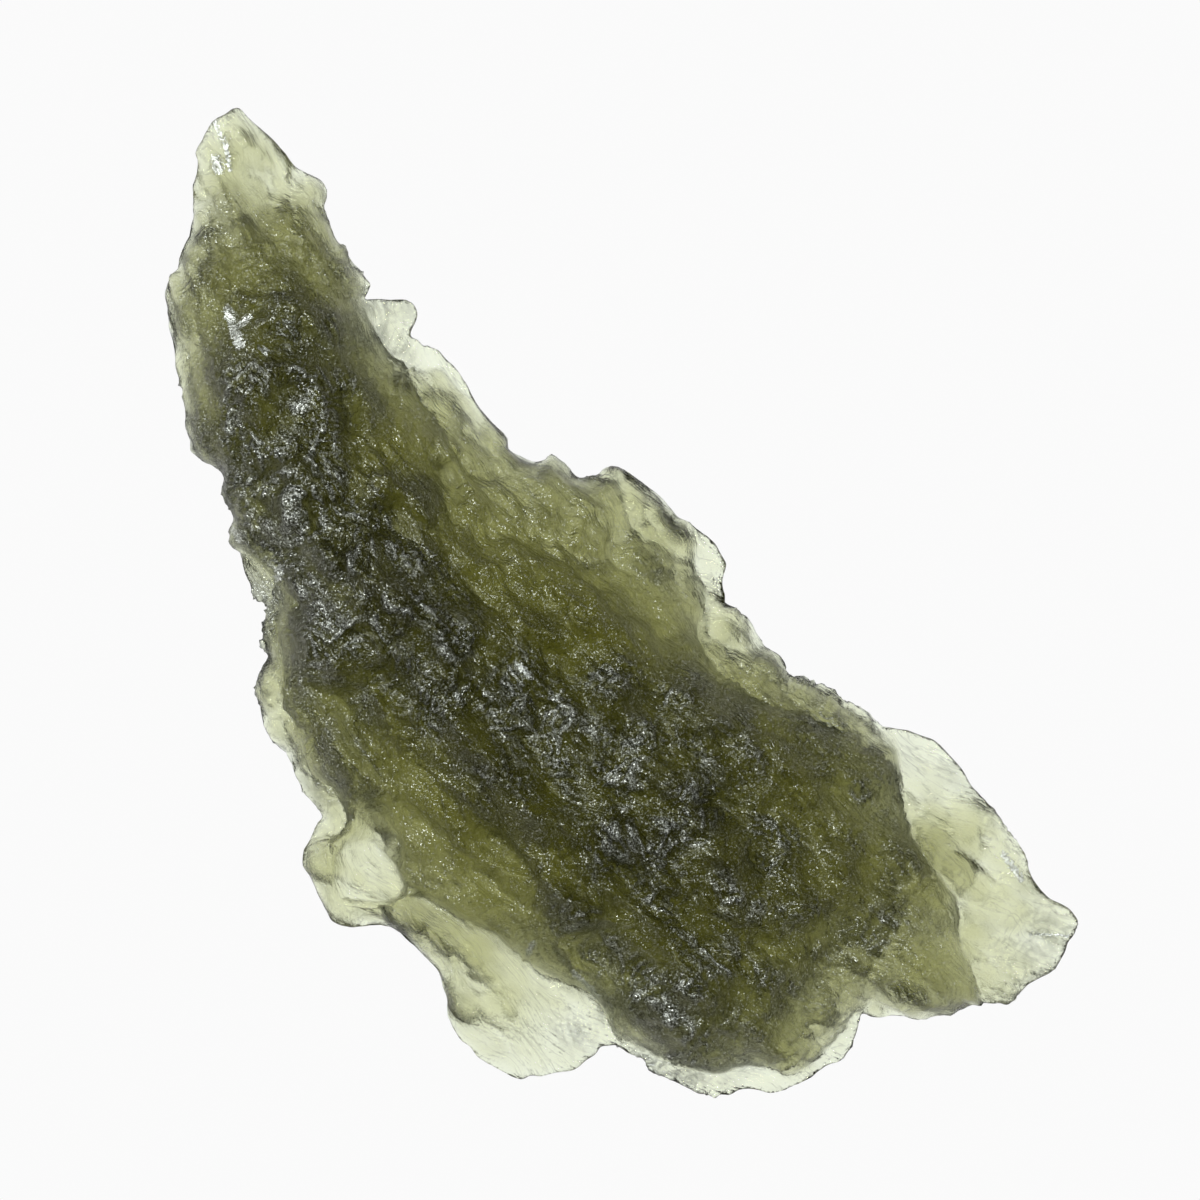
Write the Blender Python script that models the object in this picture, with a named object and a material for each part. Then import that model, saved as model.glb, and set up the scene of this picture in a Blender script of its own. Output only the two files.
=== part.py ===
"""Moldavite: one lump of natural green glass.

A flattened splash form, about 47 mm from tip to tip, with a narrow head at the upper left, thin clear wings
where the glass splashed out, and a skin that etching has covered with scallops, ledges and ridges. It lies on
its worn underside. Plan positions are written in millimetres, X to the right and Y away, about the middle of
the stone; heights are in millimetres above the surface it lies on.
"""

import math
import random

import bmesh
import bpy
import numpy as np
from mathutils import Vector
from mathutils.geometry import delaunay_2d_cdt

NODE = "moldavite"
MM = 0.001

THICKNESS_SCALE = 0.58
RIM_HEIGHT = 0.20
LEAST_THICKNESS = 0.30
TOP_SPACING = 0.50
UNDERSIDE_SPACING = 0.78
LINE_SPACING = 0.50
FOOT_STEP = 0.22
EDGE_CLEARANCE = 0.16
SPOT_REACH = 1.35
EDGE_LIFT = 1.0
EDGE_LIFT_WIDTH = 5.0
# How far in from an edge or a ledge's foot the glass is rounded: a least width, and a share of its height.
ROUNDING_LEAST = 0.50
ROUNDING_SHARE = 0.50
EDGE_STEEPNESS = 0.60
SCALLOP_SEED = 7
GLASS_COLOUR = (0.16, 0.17, 0.055, 1.0)

# The outline seen from above, clockwise from the tip of the head.
OUTLINE = [
    # Right side of the head
    (-14.5, 19.8), (-14.0, 19.25), (-13.5, 18.8), (-13.0, 18.4), (-12.3, 17.45), (-11.85, 17.2),
    (-11.45, 17.05), (-11.1, 16.75), (-11.0, 16.5), (-11.05, 16.1), (-11.2, 15.7), (-10.9, 15.3),
    (-10.7, 14.85), (-10.5, 14.35), (-10.15, 14.15), (-9.95, 13.55), (-9.65, 13.35), (-9.45, 13.0),
    (-9.2, 12.65), (-9.3, 12.4), (-9.5, 12.05),
    # Clear flange beside the head
    (-8.95, 12.1), (-8.4, 12.05), (-7.8, 12.1), (-7.45, 11.87), (-7.3, 11.5), (-7.4, 11.15),
    (-7.6, 10.8), (-7.6, 10.55), (-7.3, 10.45), (-7.1, 10.2), (-6.5, 10.1), (-6.15, 9.65),
    # Upper right edge
    (-5.9, 9.45), (-5.6, 9.1), (-5.35, 8.6), (-4.95, 7.95), (-4.65, 7.5), (-4.25, 7.15), (-3.95, 6.8),
    (-3.65, 6.5), (-3.7, 6.1), (-3.2, 5.8), (-2.7, 5.6), (-2.3, 5.6), (-1.9, 5.8), (-1.6, 5.6),
    (-1.25, 5.35), (-1.0, 5.0), (-0.65, 4.85), (-0.15, 5.0), (0.1, 5.25), (0.4, 5.45), (0.8, 5.4),
    (1.1, 5.2), (1.4, 4.95), (2.0, 4.5), (2.55, 4.07), (2.95, 3.57), (3.1, 3.35), (3.6, 3.1), (4.0, 2.8),
    (4.4, 2.5), (4.7, 2.2), (4.85, 1.85), (5.1, 1.45), (4.95, 1.0), (4.9, 0.6), (5.03, 0.2),
    (4.98, -0.12), (5.2, -0.3), (5.45, -0.35), (5.6, -0.6), (5.95, -0.8), (6.2, -1.2), (6.4, -1.6),
    (6.6, -1.85), (6.9, -1.97), (7.25, -2.2), (7.5, -2.6), (7.5, -2.97), (7.75, -3.05), (8.2, -2.98),
    (8.4, -3.2), (9.0, -3.45), (9.37, -3.55), (9.6, -3.75), (9.77, -4.0), (10.05, -4.08),
    (10.45, -4.28), (10.85, -4.5), (11.0, -4.8), (11.3, -5.08),
    # Wing at the lower right
    (11.6, -5.08), (12.0, -5.18), (12.4, -5.24), (12.8, -5.4), (13.4, -5.6), (13.73, -5.9), (14.1, -6.3),
    (14.46, -6.68), (14.7, -7.03), (14.9, -7.4), (15.23, -7.76), (15.5, -8.07), (15.85, -8.38),
    (16.15, -8.8), (16.4, -9.26), (16.65, -9.53), (16.88, -9.88), (17.1, -10.34), (17.2, -10.76),
    (17.4, -11.2), (17.77, -11.7), (18.08, -12.0), (18.54, -12.2), (18.85, -12.38), (19.05, -12.65),
    (19.23, -12.9), (19.12, -13.15), (19.08, -13.4), (18.77, -13.76), (18.7, -14.1), (18.46, -14.5),
    (18.3, -14.8), (18.0, -15.03), (17.6, -15.2), (17.23, -15.4), (16.96, -15.68), (16.7, -16.0),
    (16.4, -16.18), (16.0, -16.2), (15.4, -16.2), (14.9, -16.26), (14.6, -16.45), (14.1, -16.65),
    (13.4, -16.65), (12.75, -16.9), (12.2, -16.75), (11.7, -16.7), (11.2, -16.8), (10.85, -16.75),
    (10.5, -16.6),
    # Bottom rim
    (10.4, -17.1), (10.3, -17.5), (10.0, -18.05), (9.8, -18.43), (9.55, -18.6), (9.17, -18.66),
    (8.8, -18.9), (8.5, -19.2), (8.0, -19.43), (7.6, -19.55), (7.25, -19.75), (6.8, -19.85),
    (6.4, -19.7), (6.0, -19.62), (5.55, -19.66), (5.25, -19.9), (4.86, -19.85), (4.55, -20.0),
    (4.28, -19.85), (3.94, -19.85), (3.63, -19.66), (3.17, -19.43), (2.7, -19.2), (2.25, -19.05),
    (1.86, -18.8), (1.75, -18.35), (1.25, -18.28), (0.98, -18.12), (0.7, -17.9), (0.4, -17.9),
    (0.0, -17.93),
    # Lower lobe
    (-0.14, -18.24), (-0.6, -18.5), (-1.0, -18.9), (-1.8, -18.98), (-2.4, -19.14), (-2.8, -19.06),
    (-3.2, -19.25), (-3.57, -19.14), (-4.0, -18.9), (-4.5, -18.64), (-4.95, -18.37), (-5.2, -17.98),
    (-5.65, -17.68), (-5.88, -17.3), (-6.1, -16.9), (-6.18, -16.45), (-6.15, -16.06), (-6.26, -15.68),
    (-6.38, -15.3), (-6.5, -14.9), (-6.72, -14.64), (-7.1, -14.3), (-7.4, -13.98), (-7.8, -13.68),
    # Lower left lobe
    (-8.03, -13.4), (-8.4, -13.18), (-8.8, -13.06), (-9.4, -13.15), (-9.95, -13.18), (-10.4, -13.1),
    (-10.8, -12.9), (-11.03, -12.5), (-11.26, -12.06), (-11.5, -11.5), (-11.68, -11.06),
    (-11.84, -10.5), (-11.76, -10.06), (-11.65, -9.6), (-11.38, -9.0), (-11.15, -8.75),
    (-11.26, -8.48), (-11.57, -8.1),
    # Left edge, going up
    (-11.92, -7.8), (-12.08, -7.37), (-12.3, -7.0), (-12.38, -6.75), (-12.54, -6.2), (-12.8, -6.0),
    (-13.27, -5.64), (-13.46, -5.3), (-13.58, -4.9), (-13.7, -4.37), (-13.77, -3.98), (-13.88, -3.68),
    (-13.85, -3.37), (-13.73, -2.98), (-13.54, -2.6), (-13.3, -2.3), (-13.46, -2.06), (-13.7, -1.8),
    (-13.54, -1.45), (-13.58, -1.06), (-13.42, -0.64), (-13.3, -0.25), (-13.7, -0.05), (-13.98, 0.1),
    (-14.0, 0.55), (-14.2, 0.94), (-14.4, 1.4), (-14.42, 1.9), (-14.7, 2.05), (-14.92, 2.32),
    (-14.88, 2.86), (-14.73, 3.2), (-14.85, 3.55), (-15.04, 3.86), (-15.2, 4.25), (-15.2, 4.55),
    (-15.1, 4.82), (-15.2, 5.13), (-15.6, 5.44), (-15.92, 5.5), (-16.2, 5.75), (-16.48, 6.0),
    (-16.46, 6.4), (-16.65, 6.86), (-16.63, 7.4), (-16.73, 8.0), (-16.85, 8.63), (-17.04, 9.25),
    (-17.1, 9.86), (-17.2, 10.4), (-17.35, 10.94), (-17.4, 11.5), (-17.5, 12.3), (-17.35, 12.7),
    (-17.2, 13.0), (-16.96, 13.28), (-16.92, 13.7), (-16.77, 14.13), (-16.54, 14.63), (-16.42, 15.17),
    (-16.38, 15.8), (-16.35, 16.4), (-16.2, 16.94), (-16.15, 17.63), (-16.27, 17.94), (-16.15, 18.28),
    (-15.9, 18.7), (-15.65, 19.13), (-15.23, 19.36), (-14.8, 19.7),
]

# How thick the glass is at places in the dark body: x, y, thickness.
BODY_SPOTS = [
    # Head
    (-15.0, 19.2, 0.9), (-13.8, 18.4, 1.1), (-14.8, 17.6, 1.8), (-12.5, 17.2, 1.4), (-16.1, 17.0, 1.0),
    (-13.0, 16.6, 1.9), (-14.1, 16.2, 3.0), (-15.4, 15.8, 2.8), (-12.2, 15.3, 3.2), (-14.5, 14.6, 4.6),
    (-16.3, 14.2, 2.0), (-12.9, 13.8, 5.1), (-11.3, 13.9, 4.4), (-10.1, 13.0, 3.6), (-16.4, 12.2, 1.5),
    (-15.2, 12.4, 6.2), (-13.2, 12.2, 7.3), (-11.3, 12.2, 5.8),
    # Neck, below the head
    (-16.2, 10.4, 1.8), (-14.3, 10.4, 7.9), (-12.3, 10.4, 8.4), (-10.2, 10.8, 5.8), (-16.2, 8.4, 2.2),
    (-14.6, 8.4, 8.4), (-12.2, 8.4, 8.6), (-10.0, 8.6, 7.0), (-8.4, 8.6, 5.6), (-16.0, 6.4, 3.2),
    (-14.0, 6.2, 8.4), (-11.6, 6.2, 9.0), (-9.0, 6.4, 7.9), (-7.2, 6.2, 7.0), (-5.6, 4.8, 5.0),
    # Left half of the body
    (-14.2, 4.0, 7.0), (-12.2, 3.8, 9.2), (-9.8, 4.0, 9.0), (-7.4, 3.8, 7.9), (-13.4, 1.8, 6.2),
    (-11.2, 1.4, 9.5), (-8.6, 1.2, 9.7), (-6.2, 1.6, 8.8), (-12.0, -1.0, 7.7), (-9.8, -1.4, 9.7),
    (-7.2, -1.6, 10.1), (-11.8, -3.6, 6.2), (-9.4, -4.2, 7.7), (-7.0, -4.4, 9.5), (-10.8, -6.2, 5.8),
    (-8.6, -6.8, 7.0), (-6.4, -7.2, 9.2), (-9.4, -8.6, 5.0), (-8.0, -9.8, 5.0), (-6.2, -10.0, 7.9),
    # Upper right of the body
    (-4.8, 3.6, 5.6), (-3.2, 4.6, 4.4), (-1.4, 4.0, 4.2), (0.4, 4.2, 2.4), (1.6, 3.2, 1.9), (2.6, 2.4, 2.6),
    (4.2, 1.8, 1.6), (-3.4, 2.6, 6.2), (-1.4, 2.2, 5.4), (0.6, 1.8, 4.8), (2.6, 0.8, 4.8), (4.0, 0.6, 3.6),
    # Middle of the body
    (-4.2, 0.6, 8.6), (-2.0, 0.2, 8.6), (0.4, -0.6, 8.1), (2.6, -1.4, 7.7), (-4.8, -2.2, 9.7),
    (-2.4, -2.4, 9.7), (0.0, -3.2, 9.9), (2.6, -3.6, 9.5), (4.6, -4.4, 9.0), (-4.6, -5.0, 9.9),
    (-2.0, -5.6, 10.1), (0.8, -6.4, 10.3), (3.6, -6.8, 10.1), (6.4, -6.2, 9.2), (8.8, -6.2, 7.9),
    (10.8, -6.8, 5.2), (-4.2, -8.0, 9.7), (-1.4, -8.6, 9.9), (1.4, -9.4, 10.3), (4.2, -9.6, 10.1),
    (7.0, -9.0, 8.2), (9.6, -8.8, 7.2), (11.5, -8.6, 5.6), (12.0, -10.6, 5.6), (13.4, -12.2, 4.4),
    # Lower part of the body
    (-4.2, -10.8, 6.0), (-2.4, -10.8, 8.8), (-0.2, -11.6, 9.7), (2.4, -12.2, 9.9), (5.2, -12.0, 9.5),
    (7.6, -11.6, 8.6), (10.0, -11.2, 7.7), (-2.0, -13.2, 7.7), (-0.2, -14.0, 7.3), (2.0, -14.8, 8.8),
    (4.6, -14.6, 8.4), (7.0, -14.0, 7.5), (9.4, -13.8, 5.0), (11.6, -13.4, 4.4), (13.8, -14.0, 3.8),
    (10.2, -15.4, 3.0), (12.4, -15.4, 3.8), (14.4, -15.4, 3.6), (1.2, -16.6, 7.0), (3.6, -16.8, 7.5),
    (6.2, -16.2, 5.6), (8.4, -16.0, 3.6), (3.2, -18.0, 4.6), (5.8, -18.0, 5.0), (8.0, -17.8, 3.8),
    (9.6, -17.2, 2.6),
]

# Thinner sheets of glass below a ledge of the body. line is the foot of the ledge; round closes the area
# outside the stone; ramp is the least width of the ledge's slope; spots are the sheet's own thicknesses.
SHEETS = [
    dict(
        line=[
            (-9.5, 12.5), (-9.45, 12.05), (-9.3, 11.6), (-9.1, 11.0), (-8.9, 10.4), (-8.5, 9.9),
            (-7.9, 9.5), (-7.6, 9.1), (-7.4, 8.5), (-7.2, 7.9), (-6.7, 7.3), (-6.2, 6.6), (-5.9, 5.9),
            (-5.4, 5.1), (-4.6, 4.7), (-3.8, 4.9), (-3.2, 5.3), (-3.0, 5.9),
        ],
        round=[(-3.0, 8.0), (-2.0, 14.0), (-9.0, 14.0)],
        ramp=0.32,
        spots=[
            (-8.2, 10.6, 2.6), (-7.0, 8.6, 2.2), (-5.9, 7.2, 3.0), (-5.4, 7.9, 2.4), (-4.9, 6.2, 3.4),
            (-4.0, 5.8, 3.8),
        ],
    ),
    dict(
        line=[
            (-9.5, 12.4), (-9.3, 11.6), (-9.02, 10.9), (-8.75, 10.3), (-8.3, 9.75), (-7.8, 9.5),
            (-7.0, 9.3), (-6.6, 9.4), (-6.3, 9.35), (-6.15, 9.1), (-5.8, 8.5), (-5.4, 8.2), (-4.8, 8.1),
        ],
        round=[(-3.0, 9.0), (-3.0, 14.0), (-9.5, 14.0)],
        ramp=0.24,
        spots=[(-8.4, 11.5, 0.7), (-8.2, 10.6, 0.4), (-7.0, 9.8, 0.4), (-5.8, 9.0, 0.5)],
    ),
    dict(
        line=[
            (11.2, -4.9), (11.4, -5.2), (11.9, -5.6), (12.1, -6.2), (12.15, -7.0), (12.1, -7.8),
            (12.3, -8.7), (12.6, -9.4), (12.8, -10.0), (13.3, -10.7), (14.1, -11.4), (14.3, -12.0),
            (14.3, -13.0), (14.6, -14.2), (15.1, -15.3), (15.4, -16.4),
        ],
        round=[(15.4, -19.0), (22.0, -19.0), (22.0, -3.0), (11.2, -3.0)],
        ramp=0.36,
        spots=[
            (12.6, -6.0, 0.3), (13.5, -6.8, 0.1), (12.6, -7.6, 0.8), (13.2, -8.6, 1.9), (14.4, -8.0, 0.6),
            (13.7, -9.8, 3.2), (14.8, -10.2, 2.7), (15.6, -9.2, 0.9), (14.9, -11.4, 2.2),
            (15.4, -12.4, 1.3), (16.4, -10.8, 0.8), (16.8, -12.2, 1.5), (17.6, -12.9, 1.0),
            (18.6, -13.0, 0.6), (17.7, -14.3, 0.3), (16.3, -14.6, 1.0), (15.2, -13.8, 2.4),
            (15.7, -15.6, 2.2), (17.0, -15.2, 0.9),
        ],
    ),
    dict(
        line=[
            (4.4, 3.2), (3.95, 2.5), (3.8, 1.7), (3.95, 1.0), (4.25, 0.4), (4.2, -0.2), (4.0, -0.8),
            (3.95, -1.3), (4.2, -2.0), (4.5, -2.6),
            (5.0, -3.1), (5.8, -3.5), (6.1, -3.9), (6.6, -4.1), (7.3, -4.4), (8.3, -4.5), (8.7, -4.9),
            (9.6, -5.2), (10.6, -5.3), (11.5, -4.9),
        ],
        round=[(11.5, -2.0), (7.0, 4.0)],
        ramp=0.9,
        spots=[
            (4.6, 2.0, 0.5), (4.6, 1.0, 0.6), (4.9, -0.4, 1.7), (5.5, -1.5, 2.1), (5.4, -2.6, 3.6), (7.0, -3.3, 4.1), (8.6, -3.9, 3.4),
            (10.0, -4.6, 2.6), (10.9, -4.9, 1.8),
        ],
    ),
    dict(
        line=[
            (-14.9, 2.0), (-14.2, 1.9), (-13.4, 1.3), (-13.1, 0.8), (-12.9, 0.0), (-13.0, -0.8),
            (-12.9, -1.5), (-12.7, -2.4), (-12.6, -3.3), (-12.75, -3.8), (-12.5, -4.6), (-12.1, -5.2),
            (-12.0, -6.0), (-11.6, -6.8), (-11.2, -7.2), (-10.6, -7.6), (-10.3, -8.2), (-10.2, -9.0),
            (-10.6, -9.5), (-12.2, -9.9),
        ],
        round=[(-20.0, -10.0), (-20.0, 2.0)],
        ramp=0.5,
        spots=[
            (-14.0, 1.2, 0.6), (-13.6, 0.3, 1.4), (-13.3, -1.0, 2.2), (-13.0, -2.2, 2.8),
            (-13.3, -3.5, 2.2), (-13.2, -4.8, 2.0), (-12.6, -5.8, 2.4), (-11.8, -7.3, 2.2),
            (-10.9, -8.3, 1.2), (-10.8, -9.2, 0.8),
        ],
    ),
    dict(
        line=[
            (-10.5, -10.2), (-9.9, -9.7), (-9.2, -9.7), (-8.6, -10.4), (-8.0, -11.2), (-8.0, -11.9),
            (-9.2, -12.1), (-10.5, -12.0), (-10.7, -11.1), (-10.5, -10.2),
        ],
        round=[],
        ramp=0.5,
        spots=[(-10.0, -10.6, 1.2), (-9.2, -10.2, 1.4), (-9.0, -11.4, 1.3)],
    ),
    dict(
        line=[
            (-11.9, -9.7), (-11.0, -9.6), (-10.7, -10.2), (-10.8, -11.2), (-10.6, -12.2), (-9.2, -12.4),
            (-8.0, -12.2), (-7.2, -11.9), (-6.6, -12.1), (-5.9, -12.6), (-5.0, -13.0), (-4.2, -13.6),
            (-3.3, -14.3), (-2.4, -14.9), (-1.2, -15.4), (-0.5, -15.7), (0.1, -16.3), (0.4, -17.0),
            (0.7, -17.6), (0.8, -18.4),
        ],
        round=[(0.8, -22.0), (-14.0, -22.0), (-14.0, -9.7)],
        ramp=0.9,
        spots=[
            (-11.4, -10.8, 2.2), (-11.0, -12.2, 2.0), (-9.6, -12.8, 1.8), (-8.2, -12.9, 2.2),
            (-7.2, -13.2, 3.0), (-5.8, -14.2, 2.6), (-4.2, -14.8, 1.7), (-4.0, -16.2, 1.2),
            (-5.6, -16.4, 2.6), (-4.6, -17.6, 0.9), (-2.4, -16.2, 1.3), (-2.2, -17.8, 0.4),
            (-0.8, -16.9, 0.6), (-1.0, -18.2, 0.2),
        ],
    ),
    dict(
        line=[
            (0.9, -17.6), (1.6, -18.0), (2.2, -18.3), (3.5, -18.8), (4.7, -19.1), (5.5, -18.8),
            (6.4, -18.7), (7.3, -19.05), (8.2, -18.9), (9.0, -18.2), (9.7, -17.5), (10.0, -16.9),
            (10.8, -16.2),
        ],
        round=[(12.0, -18.0), (12.0, -22.0), (0.9, -22.0)],
        ramp=0.36,
        spots=[(1.6, -18.4, 0.6), (4.0, -19.4, 0.6), (6.8, -19.4, 0.5), (9.2, -18.6, 0.5), (10.2, -17.3, 0.9)],
    ),
]

# Small cliffs that die away into the skin: line with its high side on the left, drop, how far it dies away.
SCARPS = [
    dict(line=[(-11.1, 14.8), (-11.6, 15.5), (-12.2, 15.8), (-12.9, 16.0), (-13.9, 16.5), (-14.6, 17.0)],
         drop=0.7, fade=1.0),
    dict(line=[(-9.7, 12.4), (-11.0, 12.5), (-12.4, 12.1), (-13.8, 12.3), (-15.3, 12.2)],
         drop=0.5, fade=0.9),
    dict(line=[(-4.0, 2.7), (-3.4, 2.2), (-2.6, 1.95), (-2.0, 1.7), (-1.4, 1.3), (-0.9, 0.8), (0.3, -0.1)],
         drop=-0.9, fade=1.2),
    dict(line=[(-4.2, -8.5), (-3.8, -9.3), (-3.5, -9.9), (-2.9, -10.5), (-2.5, -11.2), (-1.9, -11.9),
               (-1.5, -12.4), (-1.6, -13.3)],
         drop=1.1, fade=1.2),
    dict(line=[(9.2, -12.2), (8.7, -12.9), (8.3, -13.8), (8.0, -14.6), (7.6, -15.3)],
         drop=-0.7, fade=1.0),
    dict(line=[(-9.6, 3.0), (-7.5, 2.0), (-6.0, 0.8), (-5.0, 0.2), (-4.0, -0.7), (-2.8, -2.2)],
         drop=-0.6, fade=1.3),
    dict(line=[(-1.3, -16.2), (-0.5, -15.9), (0.1, -16.3), (0.4, -17.0), (0.7, -17.5)],
         drop=0.6, fade=0.7),
    dict(line=[(5.5, -16.9), (5.5, -15.8), (6.0, -15.1), (6.9, -14.7)], drop=-0.5, fade=0.9),
]

# Raised lines on the skin: line, height, half width.
RIDGES = [
    dict(line=[(-15.1, 19.0), (-14.75, 17.3), (-14.7, 15.3), (-15.4, 14.3), (-15.6, 12.3), (-15.6, 10.9),
               (-15.3, 9.6), (-15.6, 9.0), (-15.2, 8.0), (-14.9, 7.0), (-14.8, 6.0), (-14.9, 5.0)],
         height=0.55, width=1.0),
    dict(line=[(-11.5, 9.2), (-11.0, 8.2), (-10.4, 7.4), (-9.8, 6.9), (-9.1, 6.4), (-8.8, 5.4), (-8.2, 4.6),
               (-7.4, 3.9), (-6.8, 3.2)],
         height=0.6, width=0.9),
    dict(line=[(-8.5, -8.0), (-7.7, -9.2), (-7.2, -10.2), (-7.2, -11.2)], height=0.6, width=0.8),
    dict(line=[(-10.9, -8.4), (-10.9, -9.6), (-10.95, -11.0), (-10.8, -12.0)], height=0.35, width=0.45),
    dict(line=[(-8.3, -12.2), (-7.2, -12.4), (-6.6, -13.3), (-6.2, -14.3), (-5.8, -15.0), (-5.9, -15.9)],
         height=0.5, width=0.5),
    dict(line=[(8.0, -14.4), (9.3, -13.5), (9.9, -13.2)], height=0.5, width=0.6),
    dict(line=[(10.5, -12.9), (11.3, -12.1), (11.9, -12.0)], height=0.5, width=0.6),
    dict(line=[(1.8, -17.6), (3.5, -17.4), (4.6, -17.2), (5.3, -17.1)], height=0.5, width=0.6),
    dict(line=[(6.3, -18.6), (6.7, -18.3), (7.6, -18.2)], height=0.4, width=0.4),
    dict(line=[(-6.0, -16.1), (-5.4, -16.8), (-4.8, -17.5)], height=0.5, width=0.5),
    dict(line=[(14.7, -8.8), (15.1, -9.4), (15.4, -9.9)], height=0.3, width=0.4),
    dict(line=[(15.8, -9.8), (16.3, -10.2), (16.8, -10.5)], height=0.3, width=0.4),
]

# Hollows: x, y, half length, half width, direction of its length in degrees, depth.
SCOOPS = [
    (-15.3, 18.1, 0.9, 0.55, 75, 0.5), (-10.2, 7.6, 1.4, 0.6, -60, 0.8), (-12.5, 10.3, 1.1, 1.0, 0, 0.7),
    (-14.0, 11.3, 0.7, 0.6, 0, 0.4), (-13.5, 10.6, 0.6, 0.5, 0, 0.3), (-13.3, 4.6, 0.7, 0.6, 0, 0.6),
    (-10.0, -4.6, 1.6, 1.1, -70, 0.5), (-8.8, -9.2, 1.5, 0.8, -55, 0.8), (-0.2, -13.9, 1.3, 1.1, -45, 1.2),
    (2.6, 0.6, 1.0, 0.7, -40, 0.5), (0.8, 1.5, 1.1, 0.6, -35, 0.5), (9.5, -16.4, 0.6, 0.5, 0, 0.4),
    (11.0, -5.8, 0.8, 0.6, -20, 0.5), (15.3, -12.3, 1.1, 0.7, -60, 0.4), (-12.0, -0.5, 0.9, 0.6, 80, 0.6),
    (-6.4, 5.0, 1.1, 0.6, -50, 0.6), (6.8, -11.2, 1.5, 0.8, -45, 0.7), (1.0, -11.0, 1.2, 0.8, -50, 0.8),
    (4.8, -8.2, 1.3, 0.9, -45, 0.8), (-2.2, -4.2, 1.2, 0.8, -50, 0.7), (-8.2, -3.4, 1.2, 0.9, -60, 0.7),
]

# Humps: x, y, radius, height.
HUMPS = [
    (-12.6, 6.0, 0.8, 0.5), (-13.8, 5.6, 0.8, 0.5), (-12.5, 3.7, 0.8, 0.5), (-10.6, 4.6, 0.9, 0.5),
    (-9.0, 4.5, 0.9, 0.5), (-11.2, 7.3, 1.1, 0.5), (-11.0, 1.8, 1.0, 0.5), (-8.8, 2.1, 0.8, 0.5),
    (-14.4, 2.6, 0.9, 0.5), (-5.4, -0.8, 0.9, 0.4), (-4.3, -1.9, 0.8, 0.4), (-5.4, -5.0, 0.9, 0.5),
    (-5.5, -6.3, 0.9, 0.5), (-2.4, -8.9, 0.8, 0.4), (0.45, -3.75, 0.9, 0.5), (3.3, -4.4, 1.0, 0.5),
    (8.6, -6.1, 1.0, 0.5), (10.6, -7.5, 0.8, 0.4), (9.6, -10.2, 0.8, 0.4), (9.5, -11.4, 1.1, 0.5),
    (1.6, -16.2, 1.0, 0.5), (3.2, -15.6, 0.9, 0.5), (4.3, -16.2, 0.8, 0.5), (5.8, -17.6, 1.0, 0.4),
    (-3.8, -12.3, 1.3, 0.5), (1.9, -13.2, 1.0, 0.5), (-13.6, -3.4, 0.6, 0.3), (-13.2, -5.0, 0.6, 0.3),
]

# Worn flats on the underside that the stone lies on: x, y, radius.
FLATS = [(-1.8, -4.6, 2.8), (-11.6, 5.6, 1.8), (8.6, -9.8, 2.0), (-6.6, -8.2, 1.7), (1.6, -0.6, 1.7),
         (2.2, -12.6, 1.8)]
FLAT_BLEND = 2.2


def to_array(points):
    return np.array([point[:2] for point in points], float)


def line_distance(points, line):
    """Distance to the nearest segment of a line, and which side of it each point lies on (+1 left)."""
    best = np.full(len(points), np.inf)
    side = np.ones(len(points))
    for start, end in zip(line[:-1], line[1:]):
        along = end - start
        share = np.clip((points - start) @ along / (along @ along), 0, 1)
        apart = points - (start + share[:, None] * along)
        distance = np.hypot(apart[:, 0], apart[:, 1])
        nearer = distance < best - 1e-9
        best[nearer] = distance[nearer]
        turn = along[0] * apart[:, 1] - along[1] * apart[:, 0]
        side[nearer] = np.where(turn[nearer] >= 0, 1.0, -1.0)
    return best, side


def is_inside(points, polygon):
    """True where a point lies inside the polygon."""
    inside = np.zeros(len(points), bool)
    x, y = points[:, 0], points[:, 1]
    for (x0, y0), (x1, y1) in zip(polygon, np.roll(polygon, -1, axis=0)):
        if y0 == y1:
            continue
        crosses = (y0 > y) != (y1 > y)
        inside ^= crosses & (x < (x1 - x0) * (y - y0) / (y1 - y0) + x0)
    return inside


def smooth(value):
    value = np.clip(value, 0, 1)
    return value * value * (3 - 2 * value)


def rounded(inward):
    """Rounded rise from 0 at an edge to 1 further in, a little less steep at its foot than a quarter round."""
    return (1 - (1 - np.clip(inward, 0, 1)) ** 2) ** EDGE_STEEPNESS


def spot_average(points, spots, reach=SPOT_REACH):
    """Blend of the spots' values, each counting most near its own place."""
    total = np.zeros(len(points))
    weight = np.zeros(len(points))
    for x, y, value in spots:
        away = np.hypot(points[:, 0] - x, points[:, 1] - y) / reach
        share = np.exp(-np.minimum(away * away, 60)) + 1e-6 / (1 + away**4)
        total += share * value
        weight += share
    return total / weight


def flow_angle(x, y):
    """Direction in which the glass flowed, in degrees: steep at the head, flatter towards the wing."""
    along = (x - y) / 30
    return -64 + 28 * min(max(along + 0.5, 0.0), 1.0)


def scallops(points, spacing, stretch, seed):
    """Etched hollows side by side with sharp edges between them, from -0.5 in each middle to about 0.5."""
    rng = random.Random(seed)
    centres = []
    y = -21.0
    while y < 21:
        x = -19.0
        while x < 21:
            centres.append((x + rng.uniform(-0.5, 0.5) * spacing, y + rng.uniform(-0.5, 0.5) * spacing,
                            spacing * rng.uniform(0.5, 0.85)))
            x += spacing * 1.1
        y += spacing * 0.95
    nearest = np.full(len(points), 9.0)
    for x, y, radius in centres:
        angle = math.radians(flow_angle(x, y))
        right, up = points[:, 0] - x, points[:, 1] - y
        long_way = (right * math.cos(angle) + up * math.sin(angle)) / stretch
        short_way = (up * math.cos(angle) - right * math.sin(angle)) * stretch**0.5
        nearest = np.minimum(nearest, np.hypot(long_way, short_way) / radius)
    return np.clip(nearest, 0, 1.25) ** 2 - 0.5


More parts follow.
